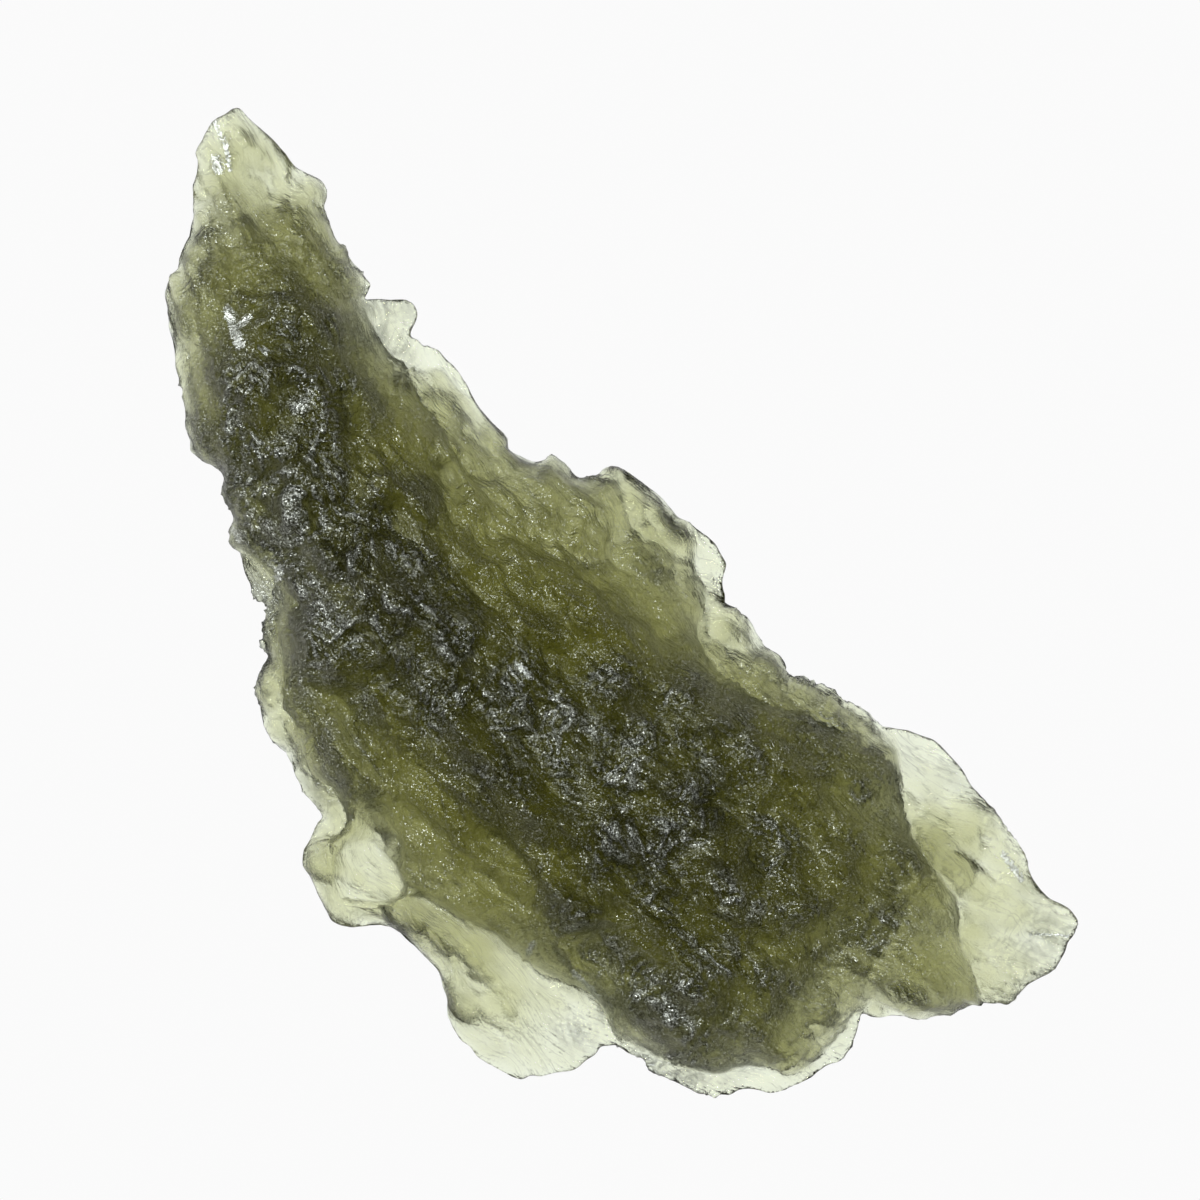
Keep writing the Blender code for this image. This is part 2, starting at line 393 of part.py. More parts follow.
def underside_height(points, edge):
    """Height of the underside: it curves up to the edges, waves a little, and is flat where it is worn."""
    lift = EDGE_LIFT * np.clip(1 - edge / EDGE_LIFT_WIDTH, 0, 1) ** 2
    waves = 0.34 + 0.5 * scallops(points, 3.1, 1.25, SCALLOP_SEED + 1)
    waves += 0.25 * scallops(points, 1.9, 1.2, SCALLOP_SEED + 2)
    height = lift + np.clip(waves, 0.06, None) * np.clip(0.35 + edge / 2.5, 0, 1)
    for x, y, radius in FLATS:
        away = np.hypot(points[:, 0] - x, points[:, 1] - y)
        height *= smooth((away - radius) / FLAT_BLEND)
    return height


def thickness(points, edge):
    """Thickness of the glass before the skin's relief."""
    glass = spot_average(points, BODY_SPOTS)
    for sheet in SHEETS:
        line = to_array(sheet["line"])
        area = np.vstack([line, to_array(sheet["round"])]) if sheet["round"] else line
        away, _ = line_distance(points, line)
        away = np.where(is_inside(points, area), -away, away)
        sheet_glass = spot_average(points, sheet["spots"])
        drop = np.maximum(glass - sheet_glass, 0)
        width = sheet["ramp"] + ROUNDING_SHARE * drop
        share = rounded(away / width)
        glass = glass * share + sheet_glass * (1 - share)
    glass *= THICKNESS_SCALE
    return glass * rounded(edge / (ROUNDING_LEAST + ROUNDING_SHARE * glass))


def relief(points):
    """Height that the ledges, ridges, humps and hollows add to or take from the skin."""
    height = 0.55 * scallops(points, 2.2, 1.45, SCALLOP_SEED)
    height += 0.30 * scallops(points, 1.35, 1.5, SCALLOP_SEED + 3)
    for scarp in SCARPS:
        away, side = line_distance(points, to_array(scarp["line"]))
        ends = to_array([scarp["line"][0], scarp["line"][-1]])
        nearest_end = np.min([np.hypot(*(points - end).T) for end in ends], axis=0)
        taper = np.clip(nearest_end / 0.9, 0, 1)
        ramp = np.clip(away / 0.16, 0, 1)
        height += 0.5 * scarp["drop"] * side * ramp * np.exp(-away / scarp["fade"]) * taper
    for ridge in RIDGES:
        away, _ = line_distance(points, to_array(ridge["line"]))
        height += ridge["height"] * np.clip(1 - away / ridge["width"], 0, 1) ** 1.4
    for x, y, long_radius, short_radius, degrees, depth in SCOOPS:
        angle = math.radians(degrees)
        right, up = points[:, 0] - x, points[:, 1] - y
        long_way = (right * math.cos(angle) + up * math.sin(angle)) / long_radius
        short_way = (up * math.cos(angle) - right * math.sin(angle)) / short_radius
        away = np.hypot(long_way, short_way)
        height -= depth * np.clip(1 - away * away, 0, 1)
        height += 0.22 * depth * np.exp(-((away - 1.15) / 0.2) ** 2)
    for x, y, radius, rise in HUMPS:
        away = np.hypot(points[:, 0] - x, points[:, 1] - y) / radius
        height += rise * np.clip(1 - away * away, 0, 1)
    return height


def top_height(points, edge):
    """Height of the upper skin."""
    glass = thickness(points, edge)
    skin = relief(points) * np.clip(glass / 4.5, 0, 1) * smooth(edge / 1.1)
    inward = np.clip(edge / 0.5, 0, 1)
    least = RIM_HEIGHT + (LEAST_THICKNESS - RIM_HEIGHT) * inward
    return underside_height(points, edge) + np.maximum(glass + skin, least)


def resampled(line, spacing=LINE_SPACING):
    """The same line with evenly spaced points."""
    line = to_array(line)
    steps = np.hypot(*np.diff(line, axis=0).T)
    along = np.concatenate([[0], np.cumsum(steps)])
    count = max(2, int(round(along[-1] / spacing)) + 1)
    places = np.linspace(0, along[-1], count)
    return np.stack([np.interp(places, along, line[:, axis]) for axis in (0, 1)], axis=1)


def shifted(line, distance):
    """The line moved sideways."""
    heading = np.gradient(line, axis=0)
    heading /= np.hypot(heading[:, 0], heading[:, 1])[:, None]
    return line + distance * np.stack([-heading[:, 1], heading[:, 0]], axis=1)


def edge_distance(points):
    closed = np.vstack([to_array(OUTLINE), to_array(OUTLINE[:1])])
    return line_distance(points, closed)[0]


def break_lines():
    """The lines that mesh edges follow: the foot of each ledge, and the crest of each ridge."""
    lines = []
    for sheet in SHEETS:
        middle = resampled(sheet["line"])
        lines += [middle, shifted(middle, FOOT_STEP), shifted(middle, -FOOT_STEP)]
    for scarp in SCARPS:
        middle = resampled(scarp["line"])
        lines += [shifted(middle, 0.12), shifted(middle, -0.12)]
    return lines + [resampled(ridge["line"]) for ridge in RIDGES]


def plan_mesh(spacing, lines):
    """Triangles that fill the outline: plan points, faces, and the index of each outline point."""
    points = [tuple(point) for point in OUTLINE]
    edges = []
    for line in lines:
        clear = is_inside(line, to_array(OUTLINE)) & (edge_distance(line) > EDGE_CLEARANCE)
        previous = None
        for point, keep in zip(line, clear):
            if not keep:
                previous = None
                continue
            points.append(tuple(point))
            if previous is not None:
                edges.append((previous, len(points) - 1))
            previous = len(points) - 1
    fixed = np.array(points)
    rng = random.Random(SCALLOP_SEED)
    grid = []
    row_height = spacing * math.sqrt(3) / 2
    for row in range(int(42 / row_height)):
        for column in range(int(40 / spacing)):
            x = -18.5 + (column + 0.5 * (row % 2)) * spacing + rng.uniform(-0.12, 0.12) * spacing
            y = -21.0 + row * row_height + rng.uniform(-0.12, 0.12) * spacing
            grid.append((x, y))
    grid = np.array(grid)
    grid = grid[is_inside(grid, to_array(OUTLINE))]
    grid = grid[edge_distance(grid) > 0.55 * spacing]
    apart = np.full(len(grid), np.inf)
    for point in fixed:
        apart = np.minimum(apart, np.hypot(*(grid - point).T))
    grid = grid[apart > 0.55 * spacing]
    points += [tuple(point) for point in grid]
    result = delaunay_2d_cdt([Vector(point) for point in points], edges, [list(range(len(OUTLINE)))], 1, 1e-4)
    plan = np.array([tuple(point) for point in result[0]])
    new_index = {old: new for new, olds in enumerate(result[3]) for old in olds}
    return plan, result[2], [new_index[index] for index in range(len(OUTLINE))]


def add_surface(mesh, plan, faces, heights, upwards):
    """Adds one side of the stone to the mesh and returns its vertices."""
    vertices = [mesh.verts.new((x * MM, y * MM, z * MM)) for (x, y), z in zip(plan, heights)]
    for face in faces:
        corners = [vertices[index] for index in face]
        heading = sum((corners[i].co.x * corners[i - 2].co.y - corners[i - 2].co.x * corners[i].co.y)
                      for i in range(3))
        mesh.faces.new(corners if (heading > 0) == upwards else corners[::-1])
    return vertices


for old in list(bpy.data.objects):
    bpy.data.objects.remove(old, do_unlink=True)

top_plan, top_faces, top_rim = plan_mesh(TOP_SPACING, break_lines())
low_plan, low_faces, low_rim = plan_mesh(UNDERSIDE_SPACING, [])
top_z = top_height(top_plan, edge_distance(top_plan))
low_z = underside_height(low_plan, edge_distance(low_plan))

shell = bmesh.new()
top = add_surface(shell, top_plan, top_faces, top_z, True)
low = add_surface(shell, low_plan, low_faces, low_z, False)
for here in range(len(OUTLINE)):
    after = (here + 1) % len(OUTLINE)
    shell.faces.new((top[top_rim[here]], top[top_rim[after]], low[low_rim[after]], low[low_rim[here]]))
bmesh.ops.triangulate(shell, faces=[face for face in shell.faces if len(face.verts) > 3])
bmesh.ops.recalc_face_normals(shell, faces=shell.faces)

# The origin goes under the middle of the stone, at the height of the surface it lies on.
lowest = [min(vertex.co[axis] for vertex in shell.verts) for axis in range(3)]
highest = [max(vertex.co[axis] for vertex in shell.verts) for axis in range(3)]
middle = Vector(((lowest[0] + highest[0]) / 2, (lowest[1] + highest[1]) / 2, lowest[2]))
bmesh.ops.translate(shell, verts=shell.verts, vec=-middle)

glass = bpy.data.materials.new("moldavite_glass")
glass.use_nodes = True
shader = glass.node_tree.nodes["Principled BSDF"]
shader.inputs["Base Color"].default_value = GLASS_COLOUR
shader.inputs["Roughness"].default_value = 0.32
shader.inputs["Metallic"].default_value = 0.0
shader.inputs["IOR"].default_value = 1.49
glass.diffuse_color = GLASS_COLOUR

mesh = bpy.data.meshes.new(NODE)
shell.to_mesh(mesh)
shell.free()
for polygon in mesh.polygons:
    polygon.use_smooth = True
mesh.materials.append(glass)
bpy.context.scene.collection.objects.link(bpy.data.objects.new(NODE, mesh))
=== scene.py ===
"""The looks of a moldavite, a lump of natural green glass lying on a pale lit surface.

All sizes are in metres unless a name says mm. The glass flowed along wide arcs, from the head at the upper
left to the wing at the lower right, and its fine relief and streaks follow them.
"""

import math

import bpy
import numpy as np
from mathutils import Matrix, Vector, noise
from mathutils.bvhtree import BVHTree


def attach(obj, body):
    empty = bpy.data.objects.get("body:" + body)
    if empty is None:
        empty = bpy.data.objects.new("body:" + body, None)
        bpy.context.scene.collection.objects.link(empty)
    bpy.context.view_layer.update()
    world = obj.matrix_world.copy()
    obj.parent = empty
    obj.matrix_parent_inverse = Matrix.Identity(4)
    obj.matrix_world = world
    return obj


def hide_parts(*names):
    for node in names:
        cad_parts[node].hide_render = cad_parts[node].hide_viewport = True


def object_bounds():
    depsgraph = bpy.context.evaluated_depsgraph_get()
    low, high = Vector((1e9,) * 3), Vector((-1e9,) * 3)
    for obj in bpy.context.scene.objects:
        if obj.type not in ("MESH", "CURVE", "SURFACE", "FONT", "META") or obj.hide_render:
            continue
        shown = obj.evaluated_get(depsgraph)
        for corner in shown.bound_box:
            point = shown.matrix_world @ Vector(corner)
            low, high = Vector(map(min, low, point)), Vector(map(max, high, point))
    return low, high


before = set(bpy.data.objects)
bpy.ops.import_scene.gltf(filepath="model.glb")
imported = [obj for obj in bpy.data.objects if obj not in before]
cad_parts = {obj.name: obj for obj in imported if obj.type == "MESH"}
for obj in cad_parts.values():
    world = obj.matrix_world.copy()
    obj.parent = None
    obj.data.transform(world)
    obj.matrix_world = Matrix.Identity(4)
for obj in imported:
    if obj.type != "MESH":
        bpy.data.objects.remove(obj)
cad_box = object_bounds()

# The stone.
# One piece of natural glass, frozen from a splash of melt. Etching in the ground has eaten its skin into
# scallops, pits and streaks, and left the knobs between them frosted.
MM = 0.001
# The flow lines are circles round this centre. The radius is that of the arc through the stone's middle.
FLOW_CENTRE_MM = (45.0, 44.0)
FLOW_RADIUS_MM = 63.0
# The marks' places are measured from this point of the solid, which the camera looks down on.
MARKS_FROM_MM = (-0.87, 0.1)
# Where the skin is frosted: x and y in mm, radius, strength.
FROSTED_MM = [
    (-12.6, 7.5, 3.4, 1.0), (-12.6, 3.4, 3.6, 1.0), (-9.6, 2.0, 3.2, 0.9), (-7.4, -1.6, 3.2, 0.8),
    (-11.6, -1.4, 2.6, 0.8), (-4.6, -3.6, 3.0, 0.9), (-1.0, -5.4, 2.6, 0.9), (2.2, -5.2, 2.2, 0.6),
    (-3.6, -7.6, 2.2, 0.6), (4.2, -8.6, 2.6, 0.7), (7.6, -9.0, 2.4, 0.4), (1.0, -9.6, 2.6, 0.8),
    (5.6, -12.4, 2.4, 0.5), (2.2, -13.2, 2.0, 0.4), (2.6, -16.6, 3.4, 0.9), (-0.8, -13.4, 2.0, 0.6),
    (9.6, -11.6, 2.4, 0.5), (-9.8, 11.2, 2.4, 0.3), (-13.0, 11.4, 2.4, 0.5), (6.4, -16.0, 2.4, 0.4),
    (-10.4, -6.4, 2.2, 0.4), (8.6, -6.1, 1.2, 0.7), (10.6, -7.5, 1.1, 0.7), (10.9, -9.3, 1.0, 0.6),
    (0.4, -3.4, 1.4, 0.6), (3.4, -3.6, 1.2, 0.5), (6.0, -6.0, 1.2, 0.4), (2.3, 0.9, 0.9, 0.6),
    (17.8, -13.8, 1.4, 0.5), (16.4, -15.0, 1.2, 0.4), (15.8, -9.0, 0.9, 0.3), (6.8, -3.9, 1.0, 0.4),
    (9.0, -4.8, 1.3, 0.5), (11.3, -8.2, 0.9, 0.5), (9.8, -13.2, 1.4, 0.5), (12.5, -13.4, 1.3, 0.5),
    (9.0, -15.4, 1.6, 0.5), (5.2, -4.6, 1.1, 0.5), (12.2, -10.8, 1.0, 0.4), (6.6, -10.2, 1.3, 0.5),
    (4.4, -6.8, 1.2, 0.5),
]
# Fresh white chips, and painted glints drawn like chips: a star on the head and a bright line along its
# ridge.
# Both ends in mm, half the width.
CHIPS_AND_GLINTS_MM = [
    (-15.4, 17.7, -15.3, 17.3, 0.24), (-15.45, 19.2, -15.0, 18.2, 0.11), (-14.9, 11.6, -14.4, 10.2, 0.24),
    (-14.5, 10.9, -14.0, 11.3, 0.14), (-12.8, 1.3, -12.9, 0.9, 0.20), (-13.6, 10.1, -13.3, 9.9, 0.14),
    (-1.1, -14.9, -0.1, -15.9, 0.14), (16.2, -10.2, 16.9, -11.2, 0.16), (-14.7, 2.8, -14.4, 2.4, 0.16),
    (-3.2, -2.6, -2.8, -3.0, 0.14), (-15.0, 18.2, -14.85, 17.3, 0.12), (-2.9, -14.2, -2.7, -13.8, 0.16),
    (17.3, -13.4, 18.8, -13.5, 0.08),
]
# Frost is gone this many radii from a spot's middle, and a chip and a painted glint this many half widths
# from their line. One radius or half width nearer, each is full.
FROST_FADE = 1.35
CHIP_AND_GLINT_FADE = 1.5
# Chips and painted glints show only where the skin faces up by more than this.
CHIP_AND_GLINT_FACING = 0.2
# Widths of the relief along the flow, across it and upwards.
SCALLOP_MM = (1.0, 1.15, 1.3)
PIT_MM = (0.55, 0.6, 0.7)
LUMP_MM = (0.5, 0.32, 0.4)
PATCH_MM = (1.6, 1.1, 2.0)
CLOUD_MM = (2.2, 1.1)
# The relief's heights.
SCALLOP_HEIGHT_MM = 0.36
PIT_HEIGHT_MM = 0.22
LUMP_HEIGHT_MM = 0.06
CLOUD_HEIGHT_MM = 0.4
# Clear skin is drawn out this many times along the flow, and full frost takes this much off it.
CLEAR_STRETCH = 1.9
FROST_SHORTENS = 0.9
# The middle level of the scallops and pits, and how far frosting turns them from hollows into knobs.
MIDDLE_LEVEL = 0.35
KNOB_TURN = 2.3
# Frost comes and goes in patches, more where it is strong.
PATCHINESS = 1.1
PATCHES_ANYWHERE = 0.25
# How sharply the middles of the hollows, which frost turns into knobs, are set off as crests.
CREST_GAIN = 2.6
# The relief is full where the glass is this thick, and falls to the least share in the thinnest sheets.
FULL_RELIEF_MM = 2.5
LEAST_RELIEF = 0.08
# The share of the relief on an upright wall, and how fast it grows as the skin turns level.
WALL_RELIEF = 0.25
LEVEL_RELIEF = 1.5
# The clouds grow with the thickness up to this one.
FULL_CLOUD_MM = 1.2
# The skin is dull over glass thicker than this, and fully so where it is thicker by the second.
MATTE_FROM_MM = 0.9
MATTE_OVER_MM = 1.4
# Frost darkens the light from below over deep glass, and hardly over thin glass.
DEEP_FROM_MM = 1.5
DEEP_OVER_MM = 3
LEAST_DEEP = 0.15
# A ray through the glass starts this far under the skin. Where it meets no back, the glass counts as thick.
UNDER_SKIN = 2e-5
THICK_MM = 8.0

bpy.ops.object.select_all(action="DESELECT")
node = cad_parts["moldavite"]
stone = node.copy()
stone.data = node.data.copy()
stone.name = "stone"
stone.parent = None
stone.animation_data_clear()
bpy.context.scene.collection.objects.link(stone)
stone.hide_set(False)
bpy.context.view_layer.objects.active = stone
stone.select_set(True)
bpy.ops.object.mode_set(mode="EDIT")
bpy.ops.mesh.select_all(action="SELECT")
bpy.ops.mesh.remove_doubles(threshold=1e-7)
bpy.ops.mesh.subdivide(number_cuts=3)
bpy.ops.mesh.vertices_smooth(factor=0.5, repeat=4)
bpy.ops.object.mode_set(mode="OBJECT")

shape = stone.data
count = len(shape.vertices)
places = np.empty(count * 3)
shape.vertices.foreach_get("co", places)
places = places.reshape(-1, 3)
facing = np.empty(count * 3)
shape.vertex_normals.foreach_get("vector", facing)
facing = facing.reshape(-1, 3)

# How deep the glass is under each point, straight in from the skin.
inside = BVHTree.FromPolygons([tuple(p) for p in places], [tuple(f.vertices) for f in shape.polygons])
depth = np.full(count, THICK_MM)
for i in range(count):
    normal = Vector(facing[i])
    hit = inside.ray_cast(Vector(places[i]) - normal * UNDER_SKIN, -normal)
    if hit[0] is not None:
        depth[i] = hit[3] / MM


def flow(x_mm, y_mm):
    """Distance along and across the glass's flow lines."""
    right, up = x_mm - FLOW_CENTRE_MM[0], y_mm - FLOW_CENTRE_MM[1]
    return FLOW_RADIUS_MM * math.atan2(up, right), math.hypot(right, up)


def hollows(along, across, height, widths, stretch, shift):
    """Round hollows of these widths: below nought at their middles, above it on the ridges between them."""
    point = (along / (widths[0] * stretch), across / widths[1], height / widths[2] + shift)
    return noise.voronoi(Vector(point))[0][0] ** 2 - MIDDLE_LEVEL


# Frosting fades out from each spot's middle, and each chip and painted glint is full along its own line.
plan = places[:, :2] / MM - MARKS_FROM_MM
frost = np.zeros(count)
for x, y, radius, strength in FROSTED_MM:
    away = np.hypot(plan[:, 0] - x, plan[:, 1] - y) / radius
    frost = 1 - (1 - frost) * (1 - strength * np.clip(FROST_FADE - away, 0, 1))
chip_and_glint = np.zeros(count)
for x, y, end_x, end_y, width in CHIPS_AND_GLINTS_MM:
    way = np.array((end_x - x, end_y - y))
    off = plan - (x, y)
    share = np.clip(off @ way / (way @ way), 0, 1)[:, None]
    away = np.linalg.norm(off - share * way, axis=1) / width
    chip_and_glint = np.maximum(chip_and_glint, np.clip(CHIP_AND_GLINT_FADE - away, 0, 1) * (facing[:, 2] > CHIP_AND_GLINT_FACING))

# The relief: scallops, pits and lumps on the skin, and clouds in how thick the thin sheets are.
move = np.zeros(count)
crest = np.zeros(count)
thinning = np.zeros(count)
for i in range(count):
    x, y, z = places[i] / MM
    along, across = flow(x, y)
    stretch = CLEAR_STRETCH - FROST_SHORTENS * frost[i]
    wide = hollows(along, across, z, SCALLOP_MM, stretch, 0)
    small = hollows(along, across, z, PIT_MM, stretch, 7)
    lumps = noise.fractal(Vector((along / LUMP_MM[0], across / LUMP_MM[1], z / LUMP_MM[2])), 0.8, 2.0, 3)
    patchy = noise.noise(Vector((along / PATCH_MM[0], across / PATCH_MM[1], z / PATCH_MM[2] + 3)))
    frost[i] = min(max(frost[i] + PATCHINESS * patchy * (PATCHES_ANYWHERE + frost[i]), 0), 1)
    swell = SCALLOP_HEIGHT_MM * wide + PIT_HEIGHT_MM * small
    side = 4 if facing[i][2] > 0 else 9
    cloud = noise.fractal(Vector((along / CLOUD_MM[0], across / CLOUD_MM[1], side)), 0.7, 2.0, 3)
    move[i] = swell * (1 - KNOB_TURN * frost[i]) + LUMP_HEIGHT_MM * lumps
    thinning[i] = CLOUD_HEIGHT_MM * cloud
    crest[i] = min(max(0.5 - CREST_GAIN * swell, 0), 1)
# Thin sheets and steep rims keep their outline, so their relief is low. The clouds move only level skin,
# and only up or down, so that no rim is drawn out into a point.
move *= np.clip(depth / FULL_RELIEF_MM, LEAST_RELIEF, 1)
move *= np.clip(WALL_RELIEF + LEVEL_RELIEF * np.abs(facing[:, 2]), 0, 1)
places += facing * move[:, None] * MM
places[:, 2] += facing[:, 2] ** 3 * thinning * np.clip(depth, 0, FULL_CLOUD_MM) * MM
places = np.clip(places, cad_box[0], cad_box[1])
shape.vertices.foreach_set("co", places.reshape(-1))
shape.update()
for name, values in [
    ("crest", crest),
    ("frost", frost),
    ("chip_and_glint", chip_and_glint),
    ("matte", np.clip((depth - MATTE_FROM_MM) / MATTE_OVER_MM, 0, 1)),
    ("deep", np.clip((depth - DEEP_FROM_MM) / DEEP_OVER_MM, LEAST_DEEP, 1)),
]:
    shape.attributes.new(name, "FLOAT", "POINT").data.foreach_set("value", values)
for polygon in shape.polygons:
    polygon.use_smooth = True


class Wire:
    """An output of a shader node, with arithmetic."""

    def __init__(self, tree, socket):
        self.tree = tree
        self.socket = socket

    def make(self, kind, settings=None, **inputs):
        """Adds a node of this kind; inputs are named by their socket, or i0, i1 and so on by number."""
        node = self.tree.nodes.new("ShaderNode" + kind)
        for name, value in (settings or {}).items():
            setattr(node, name, value)
        for name, value in inputs.items():
            number = name[1:].isdigit() and name[0] == "i"
            socket = node.inputs[int(name[1:])] if number else node.inputs[name.replace("_", " ")]
            if isinstance(value, Wire):
                self.tree.links.new(value.socket, socket)
            else:
                socket.default_value = value
        return Wire(self.tree, node.outputs[0])

    def part(self, output):
        """Another output of the same node."""
        return Wire(self.tree, self.socket.node.outputs[output])

    def maths(self, operation, *values):
        """A Math node on these values."""
        return self.make("Math", {"operation": operation}, **{f"i{n}": v for n, v in enumerate(values)})

    def rise(self, low, high, bottom=0.0, top=1.0):
        """Goes smoothly from bottom to top while this value goes from low to high."""
        return self.make("MapRange", {"interpolation_type": "SMOOTHSTEP"}, Value=self,
                         From_Min=low, From_Max=high, To_Min=bottom, To_Max=top)

    def tint(self, colour):
        """Black where this value is 0, and the colour where it is 1."""
        return self.make("Mix", {"data_type": "RGBA"}, i0=self, i6=(0, 0, 0, 1), i7=(*colour, 1)).part(2)

    def feed(self, socket):
        """Links this output to a socket of a node that is already there."""
        self.tree.links.new(self.socket, socket)

    def __add__(self, other):
        return self.maths("ADD", self, other)

    __radd__ = __add__

    def __sub__(self, other):
        return self.maths("SUBTRACT", self, other)

    def __rsub__(self, other):
        return self.maths("SUBTRACT", other, self)

    def __mul__(self, other):
        return self.maths("MULTIPLY", self, other)

    __rmul__ = __mul__

    def __pow__(self, other):
        return self.maths("POWER", self, other)

    def __rpow__(self, other):
        return self.maths("POWER", other, self)


# The clear glass is slightly yellow where light leaves it, and swallows blue first as it gets deeper.
GLASS_COLOUR = (0.95, 1.0, 0.87)
GLASS_DEPTH_COLOUR = (0.483, 0.473, 0.0)
GLASS_DENSITY = 700
GLASS_IOR = 1.49
FROST_COLOUR = (0.97, 1.0, 0.93)
FROST_ROUGHNESS = 0.42
# Both mirror little at a low angle, because their skin is etched.
GLASS_SHEEN = (0.36, 0.36, 0.2)
FROST_SHEEN = (0.25, 0.25, 0.18)
# The polished sheets are the smoothest, and etching dulls the thick body by so much more.
SHEET_ROUGHNESS = 0.05
BODY_DULLING = 0.25
# How much frost, with painted shade in the valleys between its knobs, and a crack take from the light that
# comes through.
FROST_AND_VALLEY_SHADE = 0.68
CRACK_DARKENS = 0.3
# Layers of the melt rise by this much for each mm upwards.
LAYER_SLOPE = 1.3
# Streaks to a mm along the flow, across it and upwards, and the other patterns' patches to a mm.
STREAKS_PER_MM = (0.7, 5.5, 0.8)
DRIFT_PER_MM = 1.6
GRAIN_PER_MM = 8.0
FINE_PER_MM = 13.0
# How deep streaks and grain are, on the glass and on the frost.
GLASS_STREAK_MM = 0.07
GLASS_GRAIN_MM = 0.045
FROST_STREAK_MM = 0.05
FROST_GRAIN_MM = 0.08

glass = bpy.data.materials.new("moldavite_glass")
glass.use_nodes = True
tree = glass.node_tree
shader = tree.nodes["Principled BSDF"]
output = tree.nodes["Material Output"]
start = Wire(tree, None)
place = start.make("TexCoord").part("Object")
place = start.make("VectorMath", {"operation": "SCALE"}, i0=place, Scale=1 / MM)
away = start.make("VectorMath", {"operation": "SUBTRACT"}, i0=place, i1=(*FLOW_CENTRE_MM, 0.0))
parts = start.make("SeparateXYZ", i0=away)
right, up, height = parts.part("X"), parts.part("Y"), parts.part("Z")
along = start.maths("ARCTAN2", up, right) * FLOW_RADIUS_MM
across = (right * right + up * up) ** 0.5
layer = across + height * LAYER_SLOPE
crests, frosted, dulled, darkened, chips_and_glints = [
    start.make("Attribute", {"attribute_name": name}).part("Fac")
    for name in ("crest", "frost", "matte", "deep", "chip_and_glint")
]

# Streaks along the flow, ripples round the knobs, and a grain and a finer grain all over.
streak_place = start.make("CombineXYZ", i0=along * STREAKS_PER_MM[0], i1=layer * STREAKS_PER_MM[1],
                          i2=height * STREAKS_PER_MM[2])
streaks = start.make("TexNoise", i0=streak_place, Scale=1.0, Detail=2.0, Roughness=0.6)
lines = streaks.rise(0.40, 0.58)
drift = start.make("TexNoise", i0=place, Scale=DRIFT_PER_MM, Detail=2.0, Roughness=0.6)
ripple = start.maths("SINE", (crests * 4.0 + layer * 1.1 + drift * 3.0) * (2 * math.pi))
wrinkle = ripple * 0.5 + 0.5
grain = start.make("TexNoise", i0=place, Scale=GRAIN_PER_MM, Detail=2.0, Roughness=0.7)
speck = grain.rise(0.40, 0.62)
fine = start.make("TexNoise", i0=place, Scale=FINE_PER_MM, Detail=1.0, Roughness=0.6)
pore = fine.rise(0.38, 0.56)
# The finer grain's brightest points are painted glints.
painted_glints = fine.rise(0.57, 0.68)
# Hairline cracks, where a slow noise passes through its middle.
fissure = start.make("TexNoise", i0=streak_place, Scale=0.35, Detail=3.0, Roughness=0.5)
crack = start.maths("ABSOLUTE", fissure - 0.5).rise(0.0, 0.02, 1.0, 0.0)

# The glass: darker under frost, with painted shade in the valleys between the frosted knobs, darker in the
# gaps between streaks and grains, and along the cracks.
frost_and_valley_shade = frosted * darkened * (1.0 - wrinkle * 0.2) * (1.0 - crests * 0.6) * FROST_AND_VALLEY_SHADE
tone = 1.0 - frost_and_valley_shade - crack * CRACK_DARKENS
tone = tone - dulled * ((1.0 - lines) * 0.20 + (1.0 - speck) * 0.15 + (1.0 - pore) * 0.20)
start.maths("MAXIMUM", tone, 0.05).tint(GLASS_COLOUR).feed(shader.inputs["Base Color"])
waves = start.make("Bump", i0=1.0, Distance=MM, Height=streaks * GLASS_STREAK_MM + grain * GLASS_GRAIN_MM)
waves.part("Normal").feed(shader.inputs["Normal"])
(dulled * BODY_DULLING + SHEET_ROUGHNESS).feed(shader.inputs["Roughness"])
shader.inputs["IOR"].default_value = GLASS_IOR
shader.inputs["Specular Tint"].default_value = (*GLASS_SHEEN, 1)
shader.inputs["Transmission Weight"].default_value = 1.0
absorb = start.make("VolumeAbsorption", Color=(*GLASS_DEPTH_COLOUR, 1), Density=GLASS_DENSITY)
absorb.feed(output.inputs["Volume"])

# The etched skin over it: frost on the knobs' crests, which is partly a painted highlight on their tops,
# painted glints on single grains, and the fresh chips, among them painted glints.
crest_frost_and_highlight = frosted * crests.rise(0.42, 0.80, 0.03, 1.0)
# The fresh chips, and the painted glints drawn as chips, mirror brightly.
fresh_chip_and_glint = (chips_and_glints + grain * 2.0).rise(1.45, 1.85)
gleam = crest_frost_and_highlight * (wrinkle * 0.3 + 0.7) * (speck * 0.36 + 0.01) + painted_glints * 0.75 + 0.012
gleam = start.maths("MAXIMUM", gleam, fresh_chip_and_glint * (speck * 0.45 + 0.3))
facets = start.make("Bump", i0=1.0, Distance=MM, Height=streaks * FROST_STREAK_MM + grain * FROST_GRAIN_MM)
etched_skin_and_glints = start.make("BsdfPrincipled", Base_Color=gleam.tint(FROST_COLOUR), Metallic=1.0,
                    Specular_Tint=(*FROST_SHEEN, 1), Roughness=FROST_ROUGHNESS,
                    Normal=facets.part("Normal"))
share = start.maths("MAXIMUM", crest_frost_and_highlight * 0.62, painted_glints * (dulled * 0.36 + 0.04))
share = start.maths("MAXIMUM", share, fresh_chip_and_glint * 0.75)
skin = start.make("MixShader", i0=share, i1=Wire(tree, shader.outputs[0]), i2=etched_skin_and_glints)
skin.feed(output.inputs["Surface"])
shape.materials.clear()
shape.materials.append(glass)

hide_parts("moldavite")
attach(stone, "root")

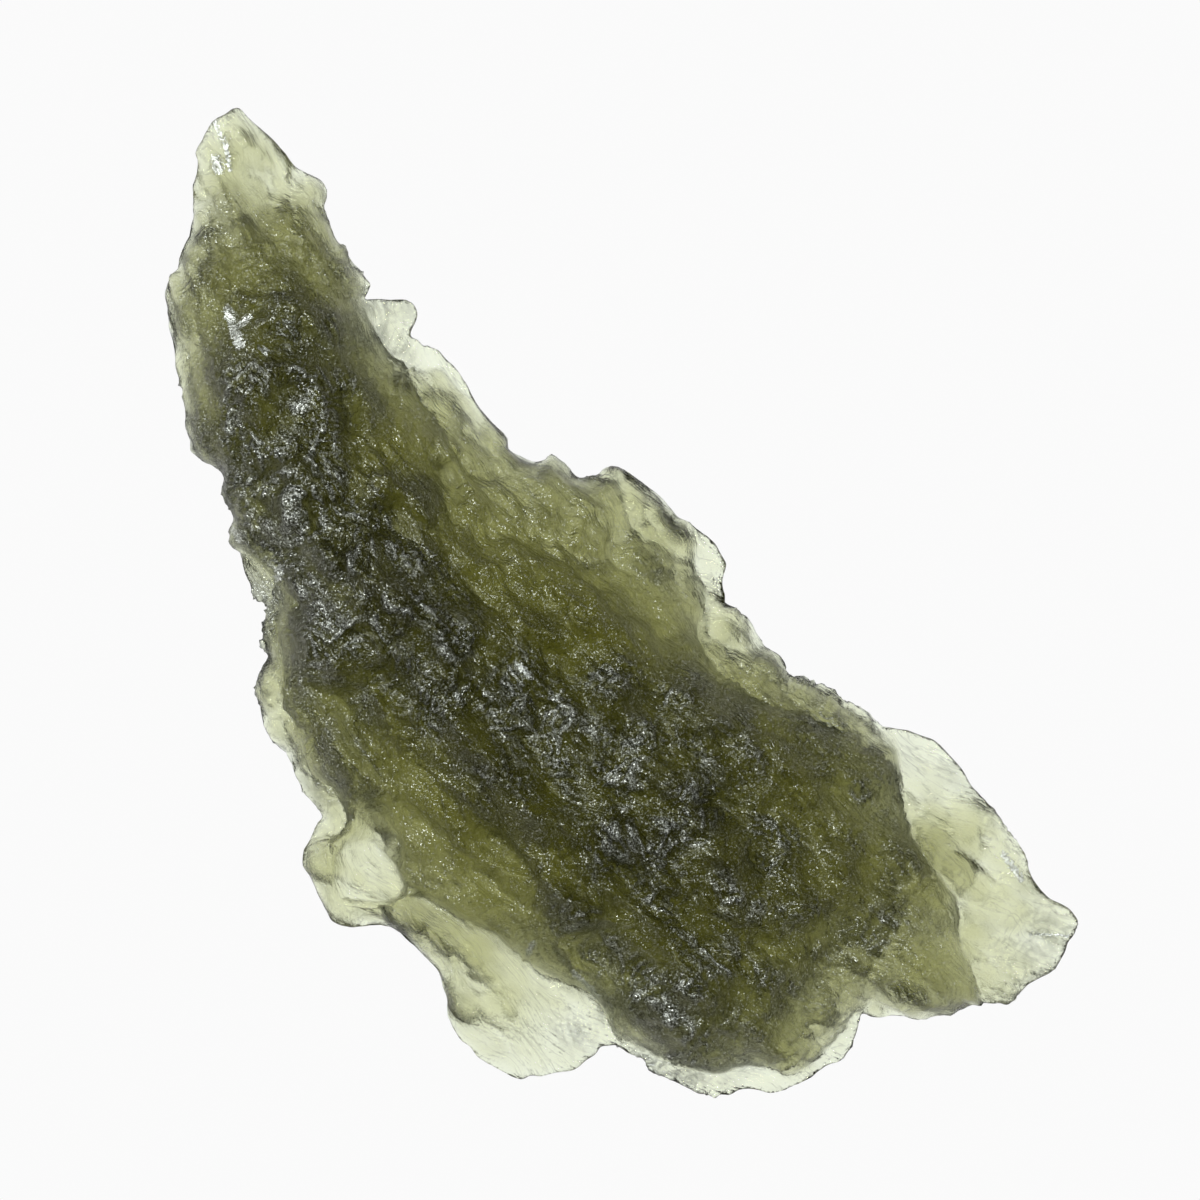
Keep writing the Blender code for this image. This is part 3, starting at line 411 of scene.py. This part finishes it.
# The lit surface.
# A white sheet that glows evenly, as paper on a light table does. It lies just under the stone's worn
# flats, so that the two never share a plane.
PAPER_SIZE = 4.0
PAPER_DROP_MM = 0.02
PAPER_GLOW = 0.96
bpy.ops.object.select_all(action="DESELECT")
bpy.ops.mesh.primitive_plane_add(size=PAPER_SIZE, location=(0, 0, -PAPER_DROP_MM * MM))
bpy.ops.object.transform_apply(location=True, rotation=False, scale=False)
floor = bpy.context.object
floor.name = "floor"
paper = bpy.data.materials.new("floor_white")
paper.use_nodes = True
shader = paper.node_tree.nodes["Principled BSDF"]
shader.inputs["Base Color"].default_value = (0, 0, 0, 1)
shader.inputs["Roughness"].default_value = 1.0
shader.inputs["Specular IOR Level"].default_value = 0.0
shader.inputs["Emission Color"].default_value = (1, 1, 1, 1)
shader.inputs["Emission Strength"].default_value = PAPER_GLOW
floor.data.materials.append(paper)

# The room's light.
# The room glows a little at the height of the table and is dim overhead. Three lamps hang above it: two
# small hard ones that make the frost sparkle, and a wide soft box at the left.
WALL_GLOW = 0.50
CEILING_GLOW = 0.10
ROOM_COLOUR = (0.94, 0.97, 1.0)
LAMP_COLOUR = (0.95, 0.98, 1.0)
world = bpy.data.worlds.new("studio")
world.use_nodes = True
bpy.context.scene.world = world
start = Wire(world.node_tree, None)
heading = start.make("TexCoord").part("Generated")
dimming = start.make("SeparateXYZ", i0=heading).part("Z").rise(0.08, 0.5, WALL_GLOW, CEILING_GLOW)
background = world.node_tree.nodes["Background"]
background.inputs["Color"].default_value = (*ROOM_COLOUR, 1)
dimming.feed(background.inputs["Strength"])

# Each lamp's name, place, width and radiance. It points at the stone.
for name, place, size, radiance in [
    ("lamp_overhead", (-0.15, 0.10, 0.42), 0.07, 95),
    ("lamp_right", (0.21, -0.04, 0.40), 0.06, 60),
    ("softbox_left", (-0.35, 0.10, 0.30), 0.20, 16),
]:
    light = bpy.data.lights.new(name, "AREA")
    light.size = size
    light.energy = radiance * math.pi * size**2
    light.color = LAMP_COLOUR
    lamp = bpy.data.objects.new(name, light)
    lamp.location = place
    lamp.rotation_euler = (-Vector(place)).to_track_quat("-Z", "Y").to_euler()
    lamp.visible_transmission = False
    bpy.context.scene.collection.objects.link(lamp)

# The camera.
# It looks straight down from above the middle of the marks, through a long lens, and keeps all sharp.
LENS_MM = 450
SENSOR_MM = 36
CAMERA_HEIGHT = 0.6035
FAR_CLIP = 10
view = bpy.data.cameras.new("camera")
view.lens = LENS_MM
view.sensor_width = SENSOR_MM
view.clip_end = FAR_CLIP
camera = bpy.data.objects.new("camera", view)
camera.location = (MARKS_FROM_MM[0] * MM, MARKS_FROM_MM[1] * MM, CAMERA_HEIGHT)
bpy.context.scene.collection.objects.link(camera)
bpy.context.scene.camera = camera
bpy.context.scene.view_settings.view_transform = "Standard"
